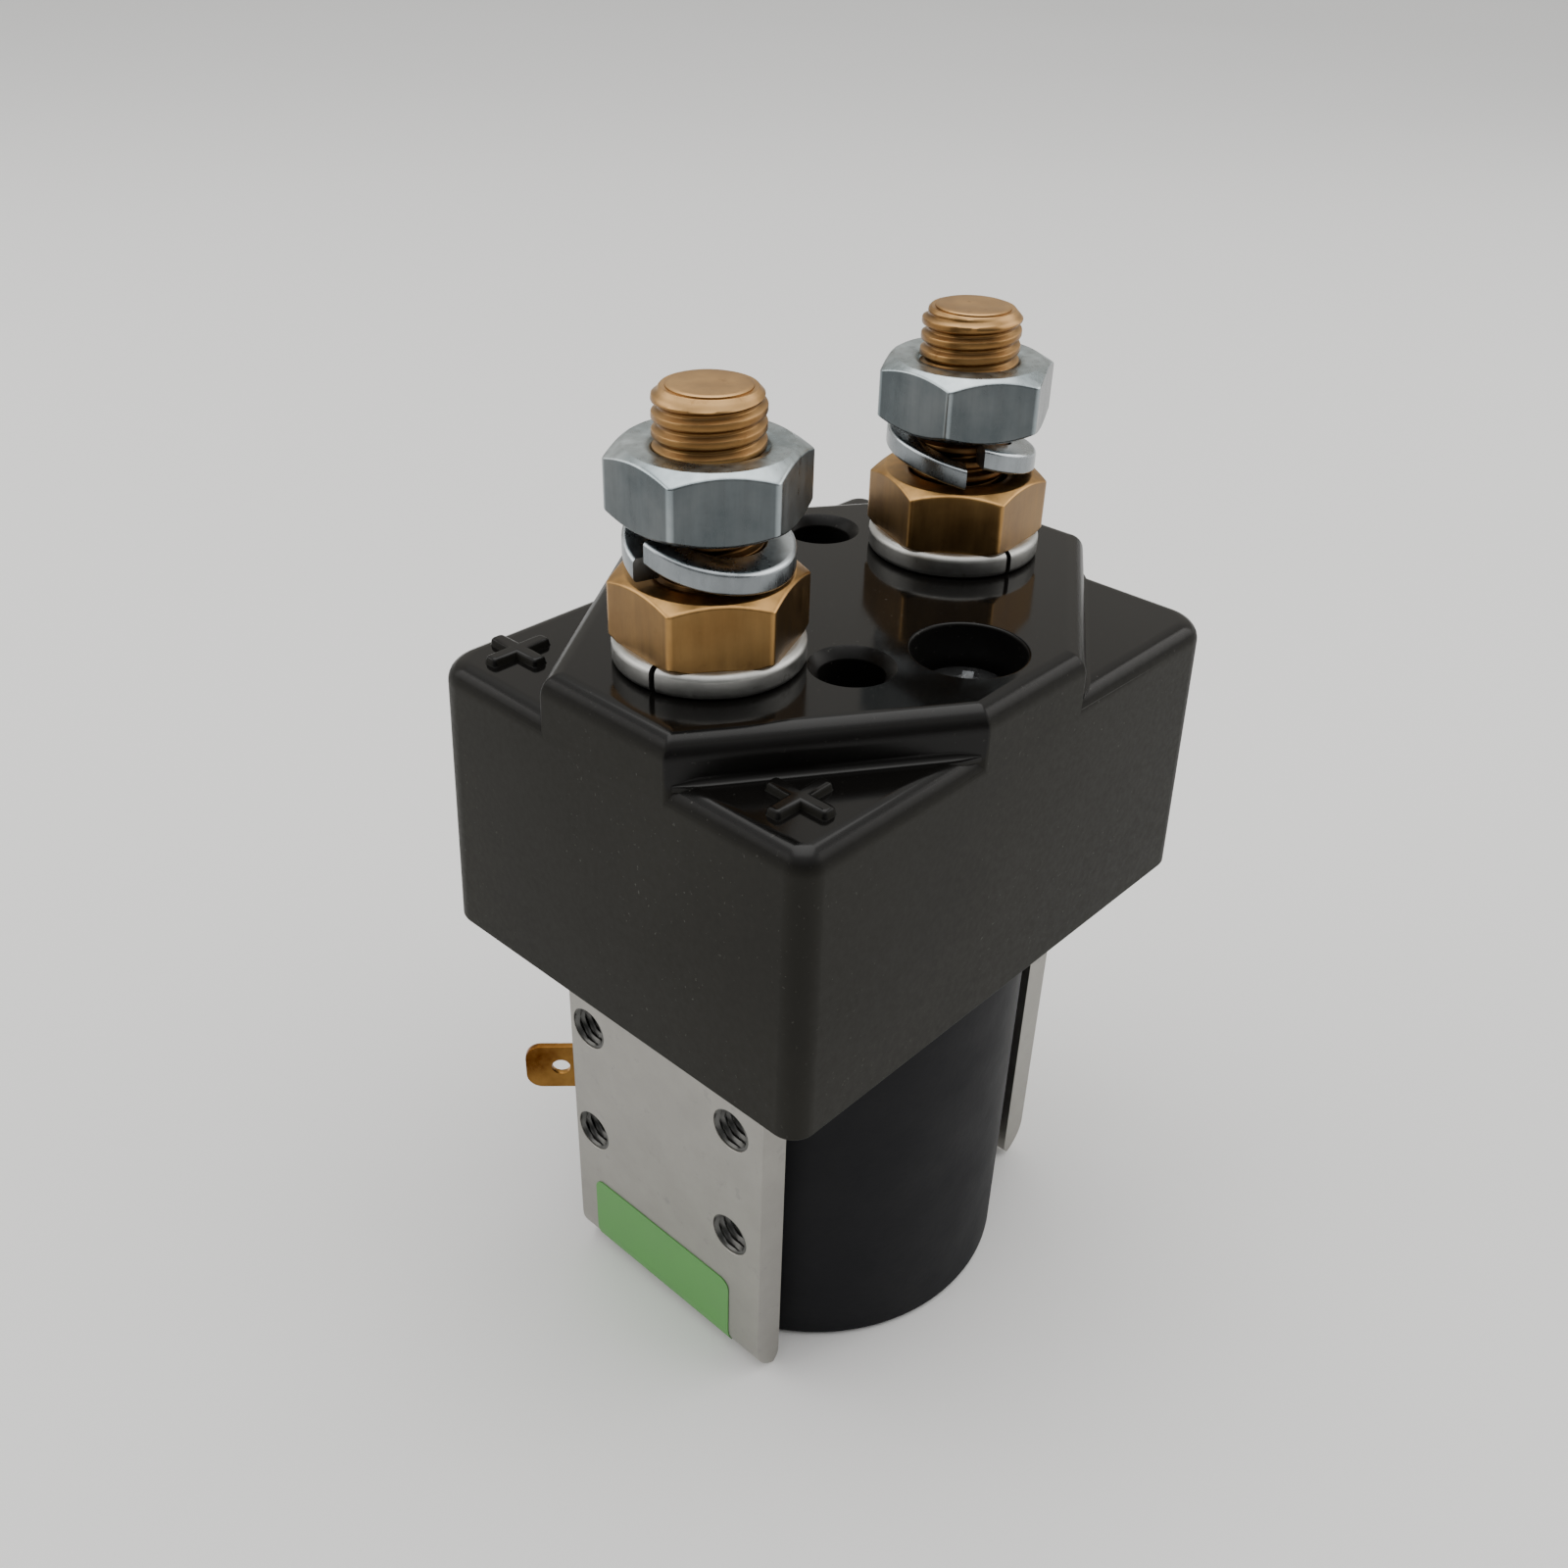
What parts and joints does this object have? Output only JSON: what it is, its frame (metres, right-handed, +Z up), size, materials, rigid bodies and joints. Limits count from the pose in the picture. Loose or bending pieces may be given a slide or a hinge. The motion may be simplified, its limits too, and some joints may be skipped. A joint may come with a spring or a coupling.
{
  "type": "dc contactor",
  "caption": "Open-frame dc contactor: threaded terminal studs on a moulded black cover, over a jacketed coil in a U-shaped steel frame, with a sprung plunger and bridging contact",
  "frame": {"origin": "centre of the underside of the U-shaped frame's web, which is the bottom centre of the bounding box", "axes": "+X along the line of the two terminal studs, from the left stud to the right stud; +Z up along the studs and the plunger; +Y to the back, the side on which the coil tabs stand out"},
  "size_m": [0.0644, 0.05, 0.1089],
  "materials": {
    "plated_steel": "satin zinc plate, warm grey",
    "soft_iron": "turned and plated",
    "bobbin_nylon": "moulded, matte",
    "winding_copper": "enamelled copper wire",
    "jacket_black": "matte, faint grain",
    "tab_brass": "stamped, satin",
    "stainless_steel": "ground",
    "spring_steel": "drawn wire",
    "fibre_brown": "pressed fibre",
    "insulator_cream": "moulded, matte",
    "bridge_copper": "copper, rolled",
    "contact_silver": "silver alloy, satin",
    "cover_black": "moulded thermoset, glossy top, satin sides",
    "ferrite_grey": "sintered ferrite",
    "stud_brass": "turned and threaded",
    "nut_brass": "drawn bar, satin",
    "bright_zinc": "bright zinc plate, bluish",
    "dull_zinc": "dull plate",
    "screw_zinc": "zinc plate",
    "label_green": "paper label, blank"
  },
  "bodies": {
    "frame": {"frame_yoke": "plated_steel", "pole_plate": "plated_steel", "fixed_core": "soft_iron", "coil_bobbin": "bobbin_nylon", "coil_winding": "winding_copper", "coil_jacket": "jacket_black", "coil_tab_left": "tab_brass", "coil_tab_right": "tab_brass", "buffer_washer": "fibre_brown", "top_cover": "cover_black", "blowout_magnets": "ferrite_grey", "stud_left": "stud_brass", "stud_right": "stud_brass", "stud_tips": "contact_silver", "seat_washers": "dull_zinc", "brass_nuts": "nut_brass", "lock_washers": "bright_zinc", "steel_nuts": "bright_zinc", "cover_screws": "screw_zinc", "screw_washers": "screw_zinc", "blank_label": "label_green", "return_spring": "spring_steel"},
    "plunger": {"plunger": "soft_iron", "plunger_shaft": "stainless_steel", "spring_seat": "insulator_cream", "contact_spring": "spring_steel", "shaft_clip": "spring_steel"},
    "bridge": {"moving_bridge": "bridge_copper", "bridge_tips": "contact_silver", "bridge_bush": "insulator_cream", "bridge_washer": "insulator_cream"}
  },
  "joints": [
    {"name": "plunger_slide", "type": "slide", "parent": "frame", "child": "plunger", "axis": [0, 0, 1], "range_m": [0, 0.003], "stiffness_N_per_m": 400, "springref_m": -0.006, "deforming": ["return_spring"]},
    {"name": "bridge_overtravel", "type": "slide", "parent": "plunger", "child": "bridge", "axis": [0, 0, -1], "range_m": [0, 0.001], "stiffness_N_per_m": 1500, "springref_m": -0.004, "deforming": ["contact_spring"]}
  ],
  "couplings": [
    {"joint": "bridge_overtravel", "follows": "plunger_slide", "ratio": 0.33333}
  ]
}
